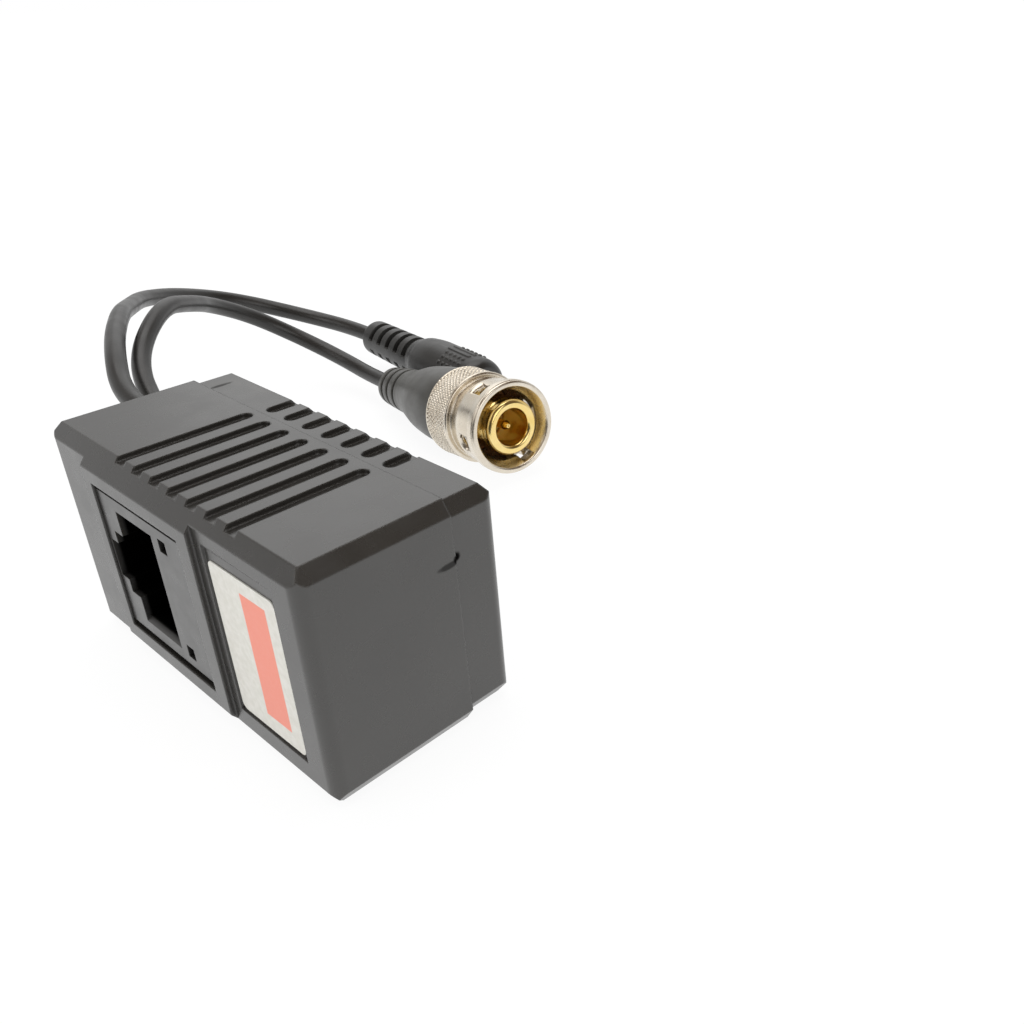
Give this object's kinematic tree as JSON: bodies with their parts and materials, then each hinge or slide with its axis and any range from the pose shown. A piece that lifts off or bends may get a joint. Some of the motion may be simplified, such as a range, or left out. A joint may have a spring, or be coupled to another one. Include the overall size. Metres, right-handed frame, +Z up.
{
  "type": "cctv video balun",
  "caption": "Passive video balun: small black two-shell housing with a modular socket on its front, a short video lead with a bayonet plug and a short power lead with a barrel socket.",
  "frame": {"origin": "middle of the housing's footprint on the surface it stands on", "axes": "+X along the housing away from the end the leads leave, -Y out of the modular socket's face, +Z up"},
  "size_m": [0.1106, 0.0717, 0.0242],
  "materials": {
    "black_abs": "satin moulded black ABS of the two shells",
    "socket_pbt": "fine matte black PBT of the modular socket",
    "label_vinyl": "matte white vinyl sticker with one plain orange field",
    "gold_plate": "bright gold plating",
    "nickel_plate": "bright warm nickel plating over brass",
    "spring_steel": "plain spring steel",
    "board_green": "green solder mask over glass epoxy",
    "tin_solder": "bright tin solder",
    "tinned_copper": "stranded tinned copper",
    "copper_enamel": "enamelled copper wire",
    "ferrite": "dark sintered ferrite",
    "part_epoxy": "moulded epoxy of the board's parts",
    "fuse_yellow": "yellow coated disc",
    "amber_insulator": "translucent amber insulator",
    "natural_nylon": "natural nylon",
    "seal_rubber": "silicone rubber seal",
    "black_pvc": "matte flexible black PVC",
    "inner_pvc": "hard black inner moulding"
  },
  "bodies": {
    "balun": {"front_shell": "black_abs", "rear_shell": "black_abs", "label": "label_vinyl", "socket_housing": "socket_pbt", "socket_contacts": "gold_plate", "contact_carrier": "socket_pbt", "circuit_board": "board_green", "video_lead_cores": "tinned_copper", "power_lead_cores": "tinned_copper", "solder_joints": "tin_solder", "transformer_core": "ferrite", "transformer_winding": "copper_enamel", "surge_suppressors": "part_epoxy", "resettable_fuse": "fuse_yellow", "chip_parts": "part_epoxy", "video_plug_body": "nickel_plate", "video_plug_outer_contact": "gold_plate", "video_plug_insulator": "amber_insulator", "video_plug_centre_pin": "gold_plate", "video_plug_gasket": "seal_rubber", "video_plug_spring_washer": "spring_steel", "video_plug_crimp_ferrule": "nickel_plate", "video_plug_inner_mould": "inner_pvc", "video_plug_boot": "black_pvc", "power_socket_grip": "black_pvc", "power_socket_barrel": "nickel_plate", "power_socket_leaf_contact": "spring_steel", "power_socket_base": "inner_pvc", "power_socket_centre_pin": "nickel_plate", "power_socket_inner_mould": "inner_pvc", "lead_ties": "natural_nylon", "video_lead": "black_pvc", "power_lead": "black_pvc"},
    "plug_slider": {"video_plug_thrust_washer": "spring_steel"},
    "coupling": {"video_plug_coupling_nut": "nickel_plate", "video_plug_lock_ring": "spring_steel"}
  },
  "joints": [
    {"name": "coupling_pull", "type": "slide", "parent": "balun", "child": "plug_slider", "axis": [0.9836, -0.1396, 0.1144], "range_m": [0, 0.0006], "stiffness_N_per_m": 8000, "deforming": ["video_plug_spring_washer"]},
    {"name": "coupling_turn", "type": "hinge", "parent": "plug_slider", "child": "coupling", "pos_m": [-0.01742, 0.04376, 0.00729], "axis": [0.9836, -0.1396, 0.1144], "continuous": true}
  ]
}
